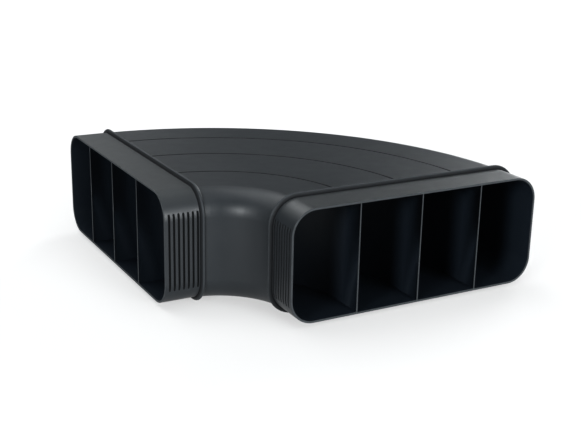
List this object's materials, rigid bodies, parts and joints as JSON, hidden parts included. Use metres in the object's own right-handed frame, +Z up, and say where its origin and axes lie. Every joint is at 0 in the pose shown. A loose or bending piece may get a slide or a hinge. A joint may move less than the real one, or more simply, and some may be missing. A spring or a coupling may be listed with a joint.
{
  "type": "flat channel duct bend",
  "caption": "Flat rectangular ventilation duct elbow that turns air through a right angle in the flat, with rounded corners, guide vanes inside, and a beaded, grooved spigot at each mouth.",
  "frame": {"origin": "middle of the bounding box on the plane under the two beads, which the part rests on", "axes": "+Z up out of the flat of the duct; one mouth faces -Y and the other faces -X"},
  "size_m": [0.2938, 0.2938, 0.095],
  "materials": {
    "duct_plastic": "satin dark grey moulded plastic"
  },
  "bodies": {
    "root": {"duct_bend": "duct_plastic"}
  },
  "joints": []
}
